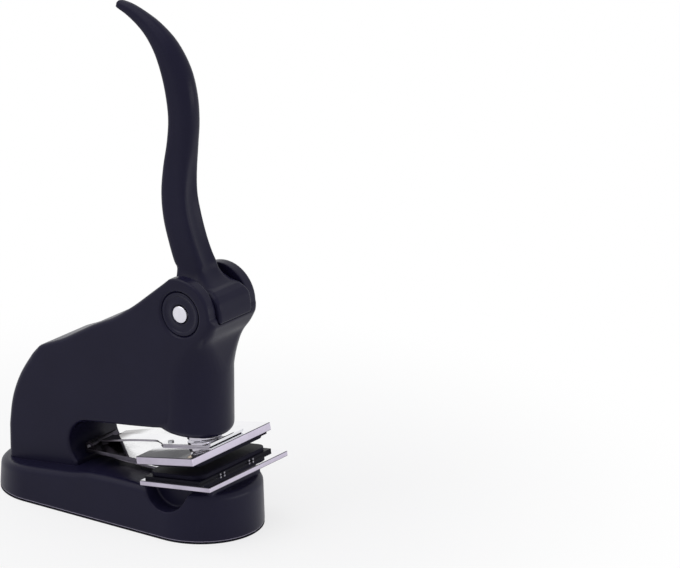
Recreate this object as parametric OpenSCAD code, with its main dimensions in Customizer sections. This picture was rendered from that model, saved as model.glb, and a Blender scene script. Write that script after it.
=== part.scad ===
// Desk seal embosser: a cast C-frame on a stadium base, a hand lever whose cam
// drives a ram down onto a hinged pair of die plates.
// +X points to the nose, +Z up, the origin is the middle of the base underside.

/* [Base] */
// Half of the base width
base_r = 26.5; // [25:0.5:29]
// Distance from the middle to each end arc's centre
base_arc_x = 37.7; // [36:0.1:40]
// Height of the base at its rear end
base_rear_h = 13.2; // [12:0.1:15]
// Height of the base under the nose
base_front_h = 21.3; // [20:0.1:23]
// Wall thickness of the base casting
base_wall = 3.6; // [3:0.1:4.5]
// Thickness of the rubber pad under the base
pad_t = 0.6; // [0.5:0.1:2]

/* [Frame] */
// Width of the frame casting
frame_w = 33; // [32:0.5:34]
// Forward position of the pivot and of the ram
pivot_x = 39.4; // [38:0.1:40]
// Height of the pivot
pivot_z = 97; // [96:0.5:98]
// Radius of the two ears round the pivot
ear_r = 15.3; // [15:0.1:15.8]
// Width of the slot between the ears
slot_w = 22.4; // [22:0.1:23]
// Height of the nose underside
nose_z = 42.3; // [41.8:0.1:43]
// Bore through the nose for the guide bush and spring
nose_bore_r = 9.2; // [9:0.1:9.4]

/* [Lever] */
// Width of the lever hub between the ears
hub_w = 21.6; // [21:0.1:21.8]
// Radius of the hub's front face
hub_front_r = 17.2; // [17:0.1:17.4]
// Radius of the pivot pin
pin_r = 3.6; // [3:0.1:3.8]
// Angle through which the lever is pressed
lever_angle = 60; // [50:1:60]
// Distance that the ram moves over that angle
ram_stroke = 2.85; // [2.5:0.05:2.9]

/* [Dies] */
// Width of both die plates
plate_w = 54; // [50:1:54]
// Tilt of the lower plate
lower_tilt = 7.5; // [7:0.5:8]
// Tilt of the upper plate when the jaw stands open
upper_tilt = 10.5; // [10.5:0.1:11]
// Length of the upper plate
upper_len = 30; // [28:1:30]
// Length of the lower plate
lower_len = 37; // [35:1:37]
// Height of the die set between the plates
die_h = 3; // [2.5:0.1:3]
// Radius of the dies' corners
die_corner = 5; // [3:0.5:8]

/* [Hidden] */
$fn = 64;
eps = 0.01;

// paint and metals as the photo shows them
black_paint = [0.13, 0.13, 0.17];
black_rubber = [0.08, 0.08, 0.09];
chrome = [0.86, 0.86, 0.88];
steel = [0.62, 0.63, 0.65];
bronze = [0.72, 0.56, 0.33];
nylon = [0.85, 0.84, 0.8];

// base top, seen from the side: a slope that levels off under the throat
top_break_rear = [-16, 18];
top_break_front = [4, 20.8];
base_end_x = base_arc_x + base_r;
anvil_x = [24, 56];
anvil_w = 34;
notch_x = 37.7;
notch_z = 22.5;
notch_r = 10;
notch_depth = 8;
boss_r = 5.5;
screw_at = [[-45, 0], [-29, 9.5], [-29, -9.5]];
screw_r = 2;
screw_head_r = 3.8;
screw_head_h = 3;
screw_engage = 12;

// frame profile
rear_x = -53.7;
rear_arc_c = [13, 24];
rear_arc_r = rear_arc_c[0] - rear_x;
shoulder = [[-37.6, 65.6], [-34.6, 67.4]];
nose_axis_x = 34.6;
nose_r = frame_w / 2;
arm_front = [30.4, 44.3];
arm_rear = [-11.4, 38.9];
throat_c = [-9.4, 28.4];
throat_r = 10.8;
web_foot_z = 70;
web_w = 24;
web_angle = -9.3;
slot_r = 13.6;
slot_back_r = 28;
slot_back_angle = 193;
ear_recess_r = 10.3;
ear_recess_d = 1.6;

// shafts and bushes
bush_r = 5;
bush_flange_r = 9.4;
bush_flange_t = 1;
run_fit = 0.05;
ear_t = (frame_w - slot_w) / 2;
washer_t = 0.3;

// cam: its radius grows evenly with angle, so the ram follows the lever
cam_r = 9.6;
cam_rate = ram_stroke / lever_angle;
cam_grow = cam_rate * 180 / PI;
cam_w = 12;
stop_angle = -8.3;
ram_gap = 0.06;
ram_top = pivot_z - sqrt(cam_r * cam_r + cam_grow * cam_grow) - ram_gap;
ram_r = 7.4;
stem_r = 4.2;
bush_top = 62;
head_t = 5;
head_r = 8.5;
ram_bottom = 41.2;
foot_neck_h = 0.6;
foot_face_z = 38.65;
foot_face_tilt = 7.64;

// handle centre line from the hub to the tip, its depth and its width
handle_at = [
    [38.5, 104], [36.2, 112.5], [33.2, 119.5], [29.2, 131.5], [27.3, 144.5],
    [28.7, 158.5], [30.6, 174.5], [29.3, 188.5], [25.3, 199.5], [18.4, 208.6],
    [8.5, 215.4], [-3, 219.4]
];
handle_depth = [17, 13.8, 14.2, 13.8, 13, 12.3, 12, 12.4, 11.8, 9.6, 6.6, 3.8];
handle_width = [21.4, 13.4, 11.4, 11.2, 10.6, 10.2, 10.2, 10.5, 10, 8.2, 6, 4.4];
handle_steps = 3;
handle_sides = 16;

// jaw hinge, and the die plates in its tilted axes (along the plate, across it)
hinge_x = -15;
hinge_z = 24.6;
knuckle_r = 2.2;
jaw_pin_r = 1;
upper_u = 40.1;
upper_v = 2.5;
upper_t = 3.4;
tongue_t = 1.5;
tongue_w = 26.8;
lower_tongue_w = 18;
lower_u = 40.4;
lower_v = -5.8;
lower_t = 2.2;
male_t = 1.6;
male_plate_t = 0.8;
holder_t = 1.2;
strip_t = 0.9;
strip_w = 8;
pad_u = [41.7, 67.8];
pad_w = 22.8;

function arc(c, r, a0, a1, n) =
    [for (i = [0 : n]) c + r * [cos(a0 + (a1 - a0) * i / n), sin(a0 + (a1 - a0) * i / n)]];

// a point on a smooth curve through a list of values
function spline(p, i, t) =
    let (n = len(p) - 1, a = p[max(i - 1, 0)], b = p[i], c = p[i + 1], d = p[min(i + 2, n)])
    0.5 * (2 * b + (c - a) * t + (2 * a - 5 * b + 4 * c - d) * t * t
        + (3 * b - a - 3 * c + d) * t * t * t);
function resample(p, k) =
    [for (i = [0 : len(p) - 2], j = [0 : k - 1]) spline(p, i, j / k), p[len(p) - 1]];

module side_extrude(w) {
    rotate([90, 0, 0])
        translate([0, 0, -w / 2])
            linear_extrude(w)
                children();
}

module stadium(half_len, r, h) {
    linear_extrude(h)
        union() {
            square([2 * half_len, 2 * r], center = true);
            for (s = [-1, 1])
                translate([s * half_len, 0])
                    circle(r, $fn = 96);
        }
}

module across(r, w, at = [0, 0]) {
    translate([at[0], w / 2, at[1]])
        rotate([90, 0, 0])
            cylinder(r = r, h = w);
}

module at_pivot() {
    translate([pivot_x, 0, pivot_z])
        children();
}

module in_jaw(tilt) {
    translate([hinge_x, 0, hinge_z])
        rotate([0, -tilt, 0])
            children();
}

module plate(u, v, length, width, t) {
    translate([u, -width / 2, v - t])
        cube([length, width, t]);
}

// the same with rounded corners
module rounded_plate(u, v, length, width, t) {
    r = die_corner;
    plate(u + r, v, length - 2 * r, width, t);
    plate(u, v, length, width - 2 * r, t);
    for (du = [r, length - r], s = [-1, 1])
        translate([u + du, s * (width / 2 - r), v - t])
            cylinder(r = r, h = t);
}

module base_side(drop) {
    polygon([
        [-base_end_x - 1, pad_t - eps], [base_end_x + 1, pad_t - eps],
        [base_end_x + 1, base_front_h - drop],
        [top_break_front[0], top_break_front[1] - drop],
        [top_break_rear[0], top_break_rear[1] - drop],
        [-base_end_x - 1, base_rear_h - drop]
    ]);
}

module anvil() {
    side_extrude(anvil_w)
        polygon([
            [anvil_x[0], base_front_h - 1], [anvil_x[1], base_front_h - 1],
            [anvil_x[1], anvil_top(anvil_x[1])], [anvil_x[0], anvil_top(anvil_x[0])]
        ]);
}

// underside of the lower plate above a point on the base
function anvil_top(x) =
    hinge_z + (x - hinge_x) * tan(lower_tilt) + (lower_v - lower_t) / cos(lower_tilt);

module base() {
    color(black_paint)
        difference() {
            union() {
                intersection() {
                    translate([0, 0, pad_t])
                        stadium(base_arc_x, base_r, 30);
                    side_extrude(2 * base_r + 2)
                        base_side(0);
                }
                anvil();
            }
            difference() {
                intersection() {
                    stadium(base_arc_x, base_r - base_wall, 30);
                    side_extrude(2 * base_r)
                        base_side(base_wall);
                }
                for (p = screw_at)
                    translate([p[0], p[1], 0])
                        cylinder(r = boss_r, h = 30);
                for (s = [-1, 1])
                    translate([notch_x - notch_r - base_wall, s * base_r - 12, 0])
                        cube([2 * (notch_r + base_wall), 24, 30]);
            }
            for (p = screw_at)
                translate([p[0], p[1], 0]) {
                    cylinder(r = screw_r + 0.1, h = 30);
                    cylinder(r = screw_head_r + 0.2, h = pad_t + screw_head_h + 0.2);
                }
            for (s = [-1, 1])
                translate([notch_x, s * (base_r - notch_depth / 2), notch_z])
                    rotate([90, 0, 0])
                        cylinder(r = notch_r, h = notch_depth + eps, center = true);
            in_jaw(lower_tilt)
                for (s = [-1, 1])
                    translate([lower_u + 18, s * 12, lower_v - 7])
                        cylinder(r = 1.5, h = 8);
        }
}

module base_pad() {
    color(black_rubber)
        difference() {
            stadium(base_arc_x, base_r - 0.3, pad_t);
            for (p = screw_at)
                translate([p[0], p[1], -1])
                    cylinder(r = screw_head_r + 0.2, h = 4);
        }
}

module frame_screws() {
    color(steel)
        for (p = screw_at)
            translate([p[0], p[1], pad_t])
                difference() {
                    union() {
                        cylinder(r = screw_head_r, h = screw_head_h);
                        cylinder(r = screw_r, h = base_top(p[0]) - pad_t + screw_engage);
                    }
                    translate([0, 0, -1])
                        cylinder(r = 1.7, h = 2.6, $fn = 6);
                }
}

// height of the base top on its rear slope
function base_top(x) =
    let (x0 = -base_end_x - 1)
    base_rear_h + (top_break_rear[1] - base_rear_h) * (x - x0) / (top_break_rear[0] - x0);

module frame_side() {
    ear_c = [pivot_x, pivot_z];
    polygon(concat(
        [[rear_x, base_top(rear_x)], [rear_x, rear_arc_c[1]]],
        arc(rear_arc_c, rear_arc_r, 176, 142, 10),
        [shoulder[0], shoulder[1], [-19.1, 75.8], [2, 87.6], [9, 91.9], [15, 96.1]],
        [[21.4, 101.2], [26, 105.2]],
        arc(ear_c, ear_r, 126, 0, 18),
        [[nose_axis_x, pivot_z - 25], [nose_axis_x, nose_z + 8]],
        [arm_front, arm_rear],
        arc(throat_c, throat_r, 100, 228, 16),
        [[-15.4, 18.1], top_break_rear]
    ));
}

module nose_column() {
    translate([nose_axis_x, 0, nose_z + 1.5])
        cylinder(r = nose_r, h = 46, $fn = 96);
    translate([nose_axis_x, 0, nose_z])
        cylinder(r1 = nose_r - 1.5, r2 = nose_r, h = 1.5, $fn = 96);
}

// concave front that carries the column out to the hub
module front_web() {
    lip = [pivot_x, pivot_z] + (hub_front_r + 0.1) * [cos(web_angle), sin(web_angle)];
    round_front = lip[0] - nose_axis_x;
    intersection() {
        translate([nose_axis_x, 0, 0])
            rotate_extrude($fn = 96)
                polygon([
                    [0, web_foot_z - 4], [nose_r, web_foot_z - 4], [nose_r + 0.5, 77],
                    [nose_r + 1.8, 84], [nose_r + 3.4, 90], [round_front, lip[1]], [0, lip[1]]
                ]);
        side_extrude(frame_w)
            translate([nose_axis_x, web_foot_z - 5])
                square([40, 40]);
    }
    side_extrude(web_w)
        polygon([
            [nose_axis_x, 74], [44.6, 74], [46.4, 79], [49, 84.5], [52.4, 90], lip,
            [pivot_x, pivot_z]
        ]);
}

module ears() {
    across(ear_r, frame_w, [pivot_x, pivot_z]);
}

// room for the hub and for the lever as it comes down
module lever_slot() {
    across(slot_r, slot_w, [pivot_x, pivot_z]);
    side_extrude(slot_w)
        translate([pivot_x, pivot_z])
            polygon(concat(
                [[0, 0]],
                arc([0, 0], slot_back_r, web_angle, slot_back_angle, 40)
            ));
}

module frame() {
    color(black_paint)
        difference() {
            union() {
                side_extrude(frame_w)
                    frame_side();
                nose_column();
                front_web();
                ears();
            }
            lever_slot();
            translate([pivot_x, 0, nose_z - 1])
                cylinder(r = nose_bore_r, h = pivot_z - nose_z);
            across(bush_r + 0.02, frame_w + 2, [pivot_x, pivot_z]);
            for (s = [-1, 1])
                translate([0, s * (frame_w / 2 - ear_recess_d / 2), 0])
                    across(ear_recess_r, ear_recess_d + eps, [pivot_x, pivot_z]);
            for (p = screw_at)
                translate([p[0], p[1], 0])
                    cylinder(r = screw_r, h = base_top(p[0]) + screw_engage + 1);
        }
}

module ear_bushes() {
    color(black_paint)
        for (s = [-1, 1])
            at_pivot()
                rotate([90 * s, 0, 0])
                    translate([0, 0, slot_w / 2])
                        difference() {
                            union() {
                                cylinder(r = bush_r, h = ear_t - ear_recess_d + bush_flange_t);
                                translate([0, 0, ear_t - ear_recess_d])
                                    cylinder(r = bush_flange_r, h = bush_flange_t);
                            }
                            translate([0, 0, -1])
                                cylinder(r = pin_r, h = ear_t + 2);
                        }
}

module pivot_pin() {
    length = frame_w - 0.6;
    color(chrome)
        at_pivot()
            rotate([90, 0, 0])
                translate([0, 0, -length / 2]) {
                    cylinder(r = pin_r, h = length);
                }
}

module thrust_washers() {
    color(nylon)
        for (s = [-1, 1])
            at_pivot()
                rotate([90 * s, 0, 0])
                    translate([0, 0, slot_w / 2 - washer_t])
                        difference() {
                            cylinder(r = 8, h = washer_t);
                            translate([0, 0, -1])
                                cylinder(r = pin_r, h = 3);
                        }
}

// handle as one swept tube of oval rings
module handle_sweep() {
    at = resample(handle_at, handle_steps);
    depth = resample(handle_depth, handle_steps);
    width = resample(handle_width, handle_steps);
    n = len(at);
    k = handle_sides;
    points = [
        for (i = [0 : n - 1])
            let (
                d = at[min(i + 1, n - 1)] - at[max(i - 1, 0)],
                across_dir = [d[1], -d[0]] / norm(d)
            )
            for (j = [0 : k - 1])
                let (
                    a = 360 * (j + 0.5) / k,
                    q = 0.7,
                    c = sign(cos(a)) * pow(abs(cos(a)), q),
                    s = sign(sin(a)) * pow(abs(sin(a)), q),
                    p = at[i] + across_dir * c * depth[i] / 2
                )
                [p[0], s * width[i] / 2, p[1]]
    ];
    walls = [
        for (i = [0 : n - 2], j = [0 : k - 1])
            let (a = i * k + j, b = i * k + (j + 1) % k)
            each [[a, b + k, b], [a, a + k, b + k]]
    ];
    polyhedron(
        points,
        concat(
            [[for (j = [0 : k - 1]) j]],
            walls,
            [[for (j = [k - 1 : -1 : 0]) (n - 1) * k + j]]
        )
    );
}

module cam() {
    side_extrude(cam_w)
        polygon(concat(
            [[0, 0]],
            [for (a = [-10 : 4 : 70])
                (cam_r + cam_rate * a) * [cos(270 - a), sin(270 - a)]]
        ));
}

module lever() {
    color(black_paint)
        difference() {
            union() {
                handle_sweep();
                at_pivot() {
                    across(cam_r - 0.6, hub_w);
                    cam();
                    side_extrude(hub_w)
                        polygon(concat(
                            [[0, 0]],
                            arc([0, 0], hub_front_r, stop_angle, 36, 14),
                            [[8.6, 10.8], [3, 13], [-4, 11]]
                        ));
                }
            }
            across(bush_r + 0.02, hub_w + 2, [pivot_x, pivot_z]);
        }
}

module hub_bush() {
    color(bronze)
        at_pivot()
            difference() {
                across(bush_r, hub_w);
                across(pin_r + run_fit, hub_w + 2);
            }
}

module guide_bush() {
    color(bronze)
        translate([pivot_x, 0, nose_z + 0.6])
            difference() {
                cylinder(r = nose_bore_r, h = bush_top - nose_z - 0.6);
                translate([0, 0, -1])
                    cylinder(r = ram_r + run_fit, h = bush_top);
            }
}

module return_spring() {
    color(steel)
        translate([pivot_x, 0, bush_top])
            difference() {
                cylinder(r = 9, h = ram_top - head_t - bush_top);
                translate([0, 0, -1])
                    cylinder(r = 7.2, h = 40);
            }
}

module ram() {
    color(chrome)
        translate([pivot_x, 0, 0])
            difference() {
                union() {
                    translate([0, 0, ram_bottom])
                        cylinder(r = ram_r, h = bush_top - 2 - ram_bottom);
                    translate([0, 0, ram_bottom])
                        cylinder(r = stem_r, h = ram_top - 1 - ram_bottom);
                }
                translate([0, 0, ram_bottom - 1])
                    cylinder(r = 2.52, h = 7);
                across(1, 20, [0, ram_top - head_t / 2]);
            }
}

// foot whose face lies flat on the upper plate's pad once the jaw is closed
module ram_foot() {
    color(chrome)
        translate([pivot_x, 0, 0])
            difference() {
                union() {
                    translate([0, 0, ram_bottom])
                        cylinder(r = 2.5, h = 5.5);
                    translate([0, 0, ram_bottom - foot_neck_h])
                        cylinder(r = 6.4, h = foot_neck_h);
                    translate([0, 0, foot_face_z - 3])
                        cylinder(r = ram_r, h = ram_bottom - foot_neck_h - foot_face_z + 3);
                }
                translate([0, 0, foot_face_z])
                    rotate([0, -foot_face_tilt, 0])
                        translate([-20, -20, -20])
                            cube([40, 40, 20]);
            }
}

module ram_head() {
    color(steel)
        translate([pivot_x, 0, ram_top - head_t])
            difference() {
                cylinder(r = head_r, h = head_t);
                translate([0, 0, -1])
                    cylinder(r = stem_r + 0.02, h = head_t + 0.1);
                across(1, 20, [0, head_t / 2]);
            }
}

module head_pin() {
    color(steel)
        translate([pivot_x, 0, 0])
            across(0.98, 15.6, [0, ram_top - head_t / 2]);
}

// tapered tongue from a plate to the hinge barrel
module tongue(u0, v0, w0, t) {
    translate([0, 0, v0 - t])
        linear_extrude(t)
            polygon([[2, -tongue_w / 2], [u0 + 1, -w0 / 2], [u0 + 1, w0 / 2], [2, tongue_w / 2]]);
}

module knuckle(y0, y1) {
    translate([0, (y0 + y1) / 2, 0])
        across(knuckle_r, y1 - y0);
}

module lower_plate() {
    color(chrome)
        difference() {
            union() {
                in_jaw(lower_tilt)
                    plate(lower_u, lower_v, lower_len, plate_w, lower_t);
                side_extrude(lower_tongue_w)
                    polygon([
                        [hinge_x + 1, hinge_z - 1.7], [4, 22.1], [25, 22.3],
                        [28, 23], [28, 24.2], [25, 23.5], [4, 23], [hinge_x + 1, hinge_z - 0.7]
                    ]);
                translate([hinge_x, 0, hinge_z]) {
                    knuckle(5, 9);
                    knuckle(-9, -5);
                }
            }
            translate([hinge_x - 4, -5, hinge_z - 4])
                cube([9, 10, 9]);
            translate([hinge_x, 0, hinge_z])
                across(jaw_pin_r, 40);
            in_jaw(lower_tilt)
                for (s = [-1, 1])
                    translate([lower_u + 18, s * 12, lower_v - 7])
                        cylinder(r = 1.5, h = 8);
        }
}

module locating_pins() {
    color(steel)
        in_jaw(lower_tilt)
            for (s = [-1, 1])
                translate([lower_u + 18, s * 12, lower_v - 5])
                    cylinder(r = 1.5, h = 5);
}

module die_holder() {
    color(black_rubber)
        in_jaw(lower_tilt)
            translate([0, 0, holder_t])
                plate(lower_u + 1, lower_v, 29.4, 49, holder_t);
}

module female_die() {
    color(black_paint)
        in_jaw(lower_tilt)
            rounded_plate(lower_u + 1.8, lower_v + die_h, 28, 47, die_h - holder_t);
}

module holder_pins() {
    color(steel)
        in_jaw(lower_tilt)
            for (y = [-11.2, -8.6, 8.6, 11.2])
                translate([lower_u + 30.4, y, lower_v + holder_t / 2])
                    rotate([0, 90, 0])
                        cylinder(r = 0.4, h = 0.5);
}

module upper_plate() {
    color(chrome)
        in_jaw(upper_tilt)
            difference() {
                union() {
                    plate(upper_u, upper_v, upper_len, plate_w, upper_t);
                    tongue(upper_u, upper_v - upper_t + tongue_t, plate_w - 2, tongue_t);
                    knuckle(-4.8, 4.8);
                }
                for (s = [-1, 1])
                    translate([-4, s * 7.05 - 2.15, -4])
                        cube([7.4, 4.3, 8]);
                across(jaw_pin_r + run_fit, 40);
                rivet_holes();
            }
}

// rivets through the pad and the plate: along the plate, across it
rivet_at = [[44.3, 8], [44.3, -8], [65.3, 0]];
rivet_r = 0.8;
tongue_top = upper_v - upper_t + tongue_t;

module rivet_holes() {
    for (p = rivet_at)
        translate([p[0], p[1], -3])
            cylinder(r = rivet_r, h = 9);
}

// thin backing plate with the die under it
module male_die() {
    color(black_rubber)
        in_jaw(upper_tilt) {
            plate(upper_u + 2, upper_v - upper_t, 27.8, 48, male_plate_t);
            rounded_plate(upper_u + 2.2, upper_v - upper_t - eps, 27.4, 47, male_t - eps);
        }
}

// one sheet: a narrow arched strip that widens to the pad under the ram
module leaf_strip() {
    low = [
        [2.4, tongue_top], [5, tongue_top], [10, 1], [18, 1.5], [26, 1.7], [33, 1.8],
        [37, 2.1], [upper_u - 0.1, upper_v]
    ];
    front = [
        [pad_u[1] - 0.9, upper_v], [pad_u[1], upper_v + 0.4], [pad_u[1] + 0.7, upper_v + 1.9],
        [pad_u[1] - 0.1, upper_v + 1.9], [pad_u[1] - 1.1, upper_v + strip_t]
    ];
    color(chrome)
        in_jaw(upper_tilt)
            difference() {
                intersection() {
                    side_extrude(pad_w)
                        polygon(concat(
                            low,
                            front,
                            [for (i = [len(low) - 1 : -1 : 0]) low[i] + [0, strip_t]]
                        ));
                    translate([0, 0, -2])
                        linear_extrude(12)
                            polygon([
                                [0, -strip_w / 2], [34, -strip_w / 2], [pad_u[0], -pad_w / 2],
                                [pad_u[1] + 5, -pad_w / 2], [pad_u[1] + 5, pad_w / 2],
                                [pad_u[0], pad_w / 2], [34, strip_w / 2], [0, strip_w / 2]
                            ]);
                }
                rivet_holes();
            }
}

module strip_rivets() {
    color(steel)
        in_jaw(upper_tilt)
            for (p = rivet_at)
                translate([p[0], p[1], upper_v]) {
                    translate([0, 0, strip_t])
                        cylinder(r = 1.3, h = 0.5);
                    translate([0, 0, -upper_t])
                        cylinder(r = rivet_r, h = upper_t + strip_t + 0.1);
                }
}

module jaw_pin() {
    color(steel)
        translate([hinge_x, 0, hinge_z])
            across(jaw_pin_r, 19);
}

base();
base_pad();
frame_screws();
frame();
ear_bushes();
pivot_pin();
thrust_washers();
lever();
hub_bush();
guide_bush();
return_spring();
ram();
ram_foot();
ram_head();
head_pin();
lower_plate();
locating_pins();
die_holder();
female_die();
holder_pins();
upper_plate();
male_die();
leaf_strip();
strip_rivets();
jaw_pin();
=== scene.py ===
import bpy
import bmesh
import math
from mathutils import Matrix, Vector


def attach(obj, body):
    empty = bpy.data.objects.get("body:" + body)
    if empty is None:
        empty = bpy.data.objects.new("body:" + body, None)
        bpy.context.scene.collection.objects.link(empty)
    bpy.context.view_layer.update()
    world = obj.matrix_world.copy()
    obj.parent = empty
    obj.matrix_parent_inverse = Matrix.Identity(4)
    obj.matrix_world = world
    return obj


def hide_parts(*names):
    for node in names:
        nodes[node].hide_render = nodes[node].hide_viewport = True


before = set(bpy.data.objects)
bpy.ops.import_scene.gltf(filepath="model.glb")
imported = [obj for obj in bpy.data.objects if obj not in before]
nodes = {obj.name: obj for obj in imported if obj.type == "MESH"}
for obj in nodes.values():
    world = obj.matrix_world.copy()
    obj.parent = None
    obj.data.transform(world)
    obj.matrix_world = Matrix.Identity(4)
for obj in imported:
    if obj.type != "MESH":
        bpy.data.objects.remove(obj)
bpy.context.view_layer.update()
scene = bpy.context.scene
mm = 0.001
print("frame loaded:", len(nodes), "nodes")


# camera, from the front left and a little above

cameraSetup = {
    "place": (1.2758, -1.6083, 0.8028),
    "turn": 35.95,
    "height": 18.966,
    "lens": 274.13,
}


def addCamera():
    turn = math.radians(cameraSetup["turn"])
    height = math.radians(cameraSetup["height"])
    right = Vector((math.cos(turn), math.sin(turn), 0))
    back = Vector((math.sin(turn) * math.cos(height), -math.cos(turn) * math.cos(height), math.sin(height)))
    up = back.cross(right)
    data = bpy.data.cameras.new("camera")
    data.lens = cameraSetup["lens"]
    data.sensor_width = 36
    data.sensor_fit = "HORIZONTAL"
    data.clip_end = 20
    camera = bpy.data.objects.new("camera", data)
    camera.matrix_world = Matrix.Translation(cameraSetup["place"]) @ Matrix((right, up, back)).transposed().to_4x4()
    scene.collection.objects.link(camera)
    scene.camera = camera


addCamera()
print("camera placed")


# mesh helpers, lengths in millimetres

def newPiece(bm, name):
    bmesh.ops.remove_doubles(bm, verts=bm.verts, dist=1e-7)
    bmesh.ops.recalc_face_normals(bm, faces=bm.faces)
    mesh = bpy.data.meshes.new(name)
    bm.to_mesh(mesh)
    bm.free()
    piece = bpy.data.objects.new(name, mesh)
    scene.collection.objects.link(piece)
    return piece


def loft(loops, name):
    # a closed skin over loops that all have the same number of points
    bm = bmesh.new()
    rows = [[bm.verts.new(Vector(p) * mm) for p in loop] for loop in loops]
    for low, high in zip(rows, rows[1:]):
        for i in range(len(low)):
            j = (i + 1) % len(low)
            bm.faces.new((low[i], low[j], high[j], high[i]))
    bm.faces.new(rows[0][::-1])
    bm.faces.new(rows[-1])
    return newPiece(bm, name)


def lathe(outline, name, centre=(0, 0, 0), axis="Z", steps=96):
    # outline: radius and height pairs, from one end of the axis to the other
    bm = bmesh.new()
    rows = []
    for radius, height in outline:
        if radius < 1e-6:
            rows.append([bm.verts.new((0, 0, height * mm))])
            continue
        rows.append([
            bm.verts.new((
                radius * mm * math.cos(2 * math.pi * i / steps),
                radius * mm * math.sin(2 * math.pi * i / steps),
                height * mm,
            ))
            for i in range(steps)
        ])
    for low, high in zip(rows, rows[1:]):
        for i in range(steps):
            j = (i + 1) % steps
            if len(low) == 1 and len(high) == 1:
                continue
            if len(low) == 1:
                bm.faces.new((low[0], high[j], high[i]))
            elif len(high) == 1:
                bm.faces.new((low[i], low[j], high[0]))
            else:
                bm.faces.new((low[i], low[j], high[j], high[i]))
    for row, flip in ((rows[0], True), (rows[-1], False)):
        if len(row) > 1 and outline[0] != outline[-1]:
            bm.faces.new(row[::-1] if flip else row)
    spin = Matrix.Rotation(math.radians({"Z": 0, "Y": -90, "-Y": 90}[axis]), 4, "X")
    bm.transform(Matrix.Translation(Vector(centre) * mm) @ spin)
    return newPiece(bm, name)


def sidePrism(outline, y0, y1, name):
    # outline in X and Z, run along Y
    return loft([[(x, y, z) for x, z in outline] for y in (y0, y1)], name)


def settle(piece):
    # the modifiers' result becomes the mesh
    bpy.context.view_layer.update()
    done = bpy.data.meshes.new_from_object(piece.evaluated_get(bpy.context.evaluated_depsgraph_get()))
    piece.modifiers.clear()
    piece.data = done


def combine(body, tools, how, keepTools=False):
    for tool in tools:
        step = body.modifiers.new(how, "BOOLEAN")
        step.operation = how
        step.solver = "EXACT"
        step.object = tool
        settle(body)
        if not keepTools:
            bpy.data.objects.remove(tool)


def gather(pieces, cuts=()):
    # cuts each solid by itself, then puts them all in the first one's mesh, for castSkin to fuse
    bm = bmesh.new()
    for piece in pieces:
        combine(piece, cuts, "DIFFERENCE", keepTools=True)
        bm.from_mesh(piece.data)
    bm.to_mesh(pieces[0].data)
    bm.free()
    for extra in list(pieces[1:]) + list(cuts):
        bpy.data.objects.remove(extra)


def castSkin(piece, grain, passes):
    # one even skin with the soft edges of a casting
    remesh = piece.modifiers.new("skin", "REMESH")
    remesh.mode = "VOXEL"
    remesh.voxel_size = grain * mm
    soften = piece.modifiers.new("soften", "SMOOTH")
    soften.factor = 0.5
    soften.iterations = passes
    settle(piece)
    smoothShade(piece)


def smoothShade(piece):
    for face in piece.data.polygons:
        face.use_smooth = True


def bevelled(piece, width, segments=2, angle=35):
    step = piece.modifiers.new("edges", "BEVEL")
    step.width = width * mm
    step.segments = segments
    step.limit_method = "ANGLE"
    step.angle_limit = math.radians(angle)
    step.harden_normals = False
    settle(piece)
    smoothShade(piece)
    normals = piece.modifiers.new("normals", "WEIGHTED_NORMAL")
    normals.keep_sharp = True
    settle(piece)


def arc(cx, cz, r, a0, a1, n):
    return [
        (cx + r * math.cos(math.radians(a0 + (a1 - a0) * i / n)), cz + r * math.sin(math.radians(a0 + (a1 - a0) * i / n)))
        for i in range(n + 1)
    ]


def smoothLine(points, steps):
    # a curve through points of any dimension
    out = []
    last = len(points) - 1
    for i in range(last):
        a, b, c, d = points[max(i - 1, 0)], points[i], points[i + 1], points[min(i + 2, last)]
        for k in range(steps):
            t = k / steps
            out.append(tuple(
                0.5 * (2 * q + (r - p) * t + (2 * p - 5 * q + 4 * r - s) * t * t + (3 * q - p - 3 * r + s) * t ** 3)
                for p, q, r, s in zip(a, b, c, d)
            ))
    out.append(tuple(points[-1]))
    return out


def place(piece, body, slot, *replaced):
    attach(piece, body)
    if replaced:
        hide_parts(*replaced)


# shader groups that several materials share

def newGroup(name, inputs, outputs):
    group = bpy.data.node_groups.new(name, "ShaderNodeTree")
    for label, value in inputs:
        socket = group.interface.new_socket(name=label, in_out="INPUT", socket_type="NodeSocketFloat")
        socket.default_value = value
    for label, kind in outputs:
        group.interface.new_socket(name=label, in_out="OUTPUT", socket_type=kind)
    return group, group.nodes.new("NodeGroupInput"), group.nodes.new("NodeGroupOutput")


def node(tree, kind, **values):
    made = tree.nodes.new(kind)
    for key, value in values.items():
        if key.startswith("in_"):
            made.inputs[key[3:].replace("_", " ")].default_value = value
        else:
            setattr(made, key, value)
    return made


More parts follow.
